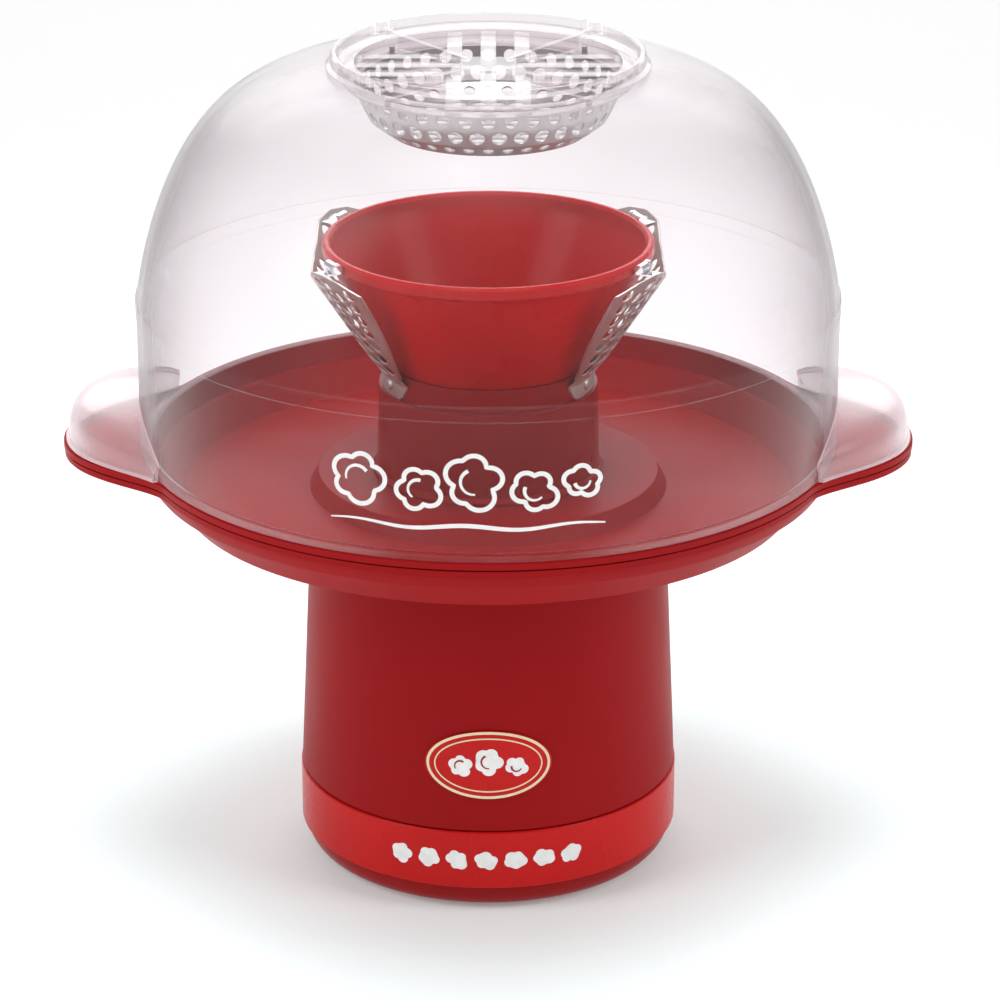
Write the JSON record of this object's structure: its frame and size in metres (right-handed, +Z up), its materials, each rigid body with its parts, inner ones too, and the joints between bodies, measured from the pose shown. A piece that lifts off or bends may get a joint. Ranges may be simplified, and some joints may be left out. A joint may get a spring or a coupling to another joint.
{
  "type": "popcorn maker",
  "caption": "Table-top hot-air popcorn maker: clear lift-off vented dome over a wide handled tray, flared chute with perforated side screens, and a tapered column holding fan and heater.",
  "frame": {"origin": "centre of the four feet, on the table", "axes": "+Z up, front of the maker faces -Y, the two handles lie along +X and -X"},
  "size_m": [0.379, 0.3112, 0.3728],
  "materials": {
    "satin_red": "fine satin moulded plastic",
    "bright_red": "glossy moulded plastic",
    "dark_red": "glossy moulded plastic",
    "clear": "clear moulded plastic",
    "steel": "perforated or pressed sheet",
    "chrome": "polished",
    "aluminium": "spun sheet",
    "rubber": "matte",
    "black_plastic": "moulded",
    "white_plastic": "moulded",
    "mica": "mica board",
    "copper": "wire and sintered bush",
    "board_green": "circuit board",
    "dark_steel": "ferrite magnet"
  },
  "bodies": {
    "base": {"rubber_feet": "rubber", "base_pan": "dark_red", "pan_screws": "steel", "base_band": "bright_red", "column_housing": "satin_red", "cord_gland": "rubber", "front_badge": "bright_red", "tray": "satin_red", "tray_screws": "steel", "chamber_gasket": "white_plastic", "popping_chamber": "aluminium", "heater_housing": "steel", "mica_frame": "mica", "heater_coil": "copper", "thermostat": "steel", "thermal_fuse": "white_plastic", "air_duct": "black_plastic", "duct_screws": "steel", "motor_bracket": "steel", "motor_can": "steel", "motor_endbell": "black_plastic", "motor_magnets": "dark_steel", "motor_bushes": "copper", "motor_screws": "steel", "rectifier_board": "board_green", "diodes": "black_plastic", "power_leads": "white_plastic"},
    "rotor": {"motor_shaft": "steel", "armature": "copper", "fan_impeller": "white_plastic", "fan_nut": "steel"},
    "chute": {"chute_collar": "dark_red", "chute_cup": "bright_red", "side_screens": "steel", "rim_clips": "chrome", "screen_rivets": "steel"},
    "dome": {"dome_cover": "clear", "dome_hoods": "clear", "vent_grille": "clear", "vent_screen": "steel", "vent_rivets": "steel"}
  },
  "joints": [
    {"name": "fan_spin", "type": "hinge", "parent": "base", "child": "rotor", "pos_m": [0, 0, 0.068], "axis": [0, 0, 1], "continuous": true},
    {"name": "chute_lift", "type": "slide", "parent": "base", "child": "chute", "axis": [0, 0, 1], "range_m": [0, 0.16]},
    {"name": "dome_lift", "type": "slide", "parent": "chute", "child": "dome", "axis": [0, 0, 1], "range_m": [0, 0.24]}
  ]
}
